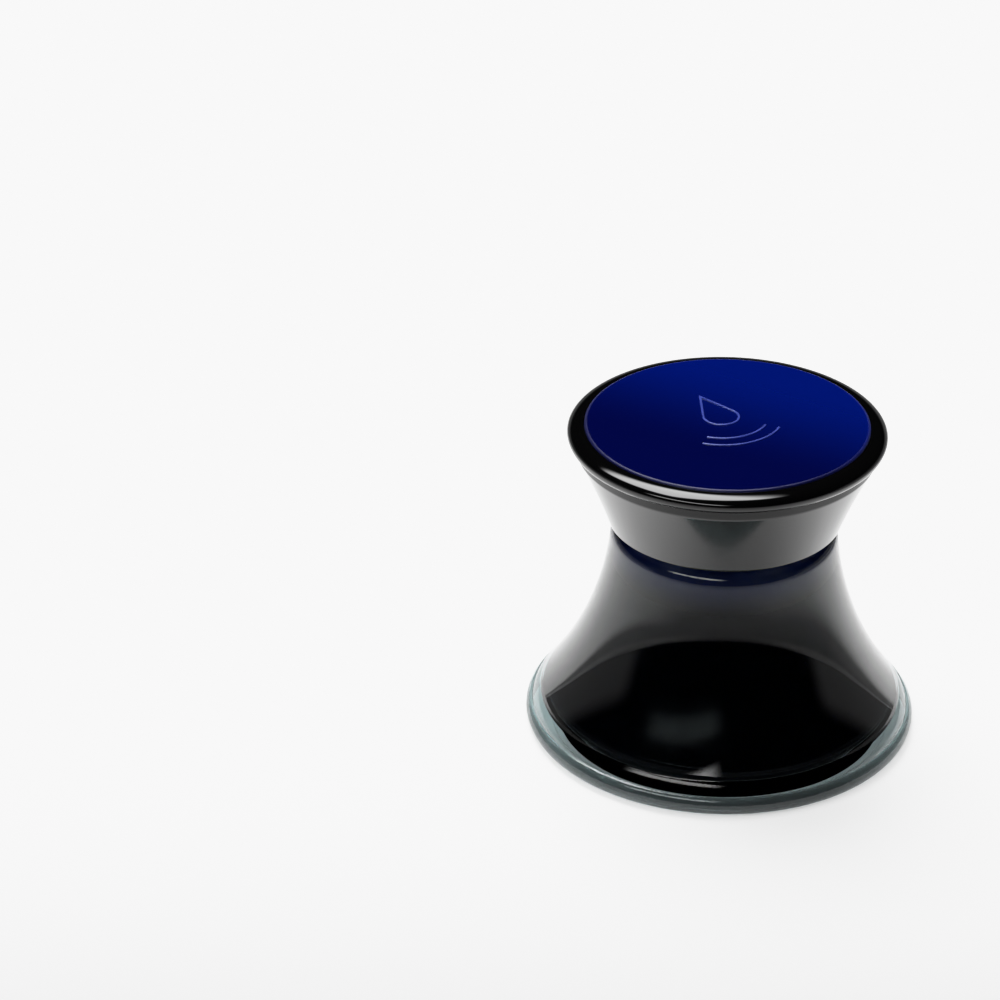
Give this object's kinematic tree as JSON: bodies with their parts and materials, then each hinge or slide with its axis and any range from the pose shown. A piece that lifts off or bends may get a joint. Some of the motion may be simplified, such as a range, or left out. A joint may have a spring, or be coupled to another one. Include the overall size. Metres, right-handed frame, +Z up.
{
  "type": "ink bottle",
  "caption": "Flared hourglass desk bottle of fountain pen ink, thick clear glass on a rounded foot, with a wide round screw cap that has a flat disc let into its top.",
  "frame": {"origin": "centre of the foot, on the surface that the bottle stands on", "axes": "+Z up along the bottle's axis; the emblem on the disc reads with its foot towards -Y, turned 24 degrees anticlockwise"},
  "size_m": [0.072, 0.072, 0.0614],
  "materials": {
    "clear_glass": "thick polished clear glass with a faint grey-green tint",
    "blue_ink": "liquid, almost black blue, mirror-smooth surface",
    "black_gloss": "high-gloss black moulding",
    "insert_plastic": "satin black moulding",
    "liner_foam": "soft white sealing wad",
    "disc_blue": "deep blue glossy disc with a fine bevel",
    "adhesive_pad": "thin double-sided adhesive pad"
  },
  "bodies": {
    "bottle": {"glass_bottle": "clear_glass", "ink": "blue_ink"},
    "seal": {"cap_liner": "liner_foam"},
    "cap": {"cap_shell": "black_gloss", "cap_insert": "insert_plastic", "cap_disc": "disc_blue", "disc_adhesive": "adhesive_pad"}
  },
  "joints": [
    {"name": "cap_lift", "type": "slide", "parent": "bottle", "child": "seal", "axis": [0, 0, 1], "range_m": [0, 0.017]},
    {"name": "cap_turn", "type": "hinge", "parent": "seal", "child": "cap", "pos_m": [0, 0, 0.0482], "axis": [0, 0, 1], "range_deg": [0, 1440]}
  ],
  "couplings": [
    {"joint": "cap_lift", "follows": "cap_turn", "m_per_rad": 0.00067376}
  ]
}
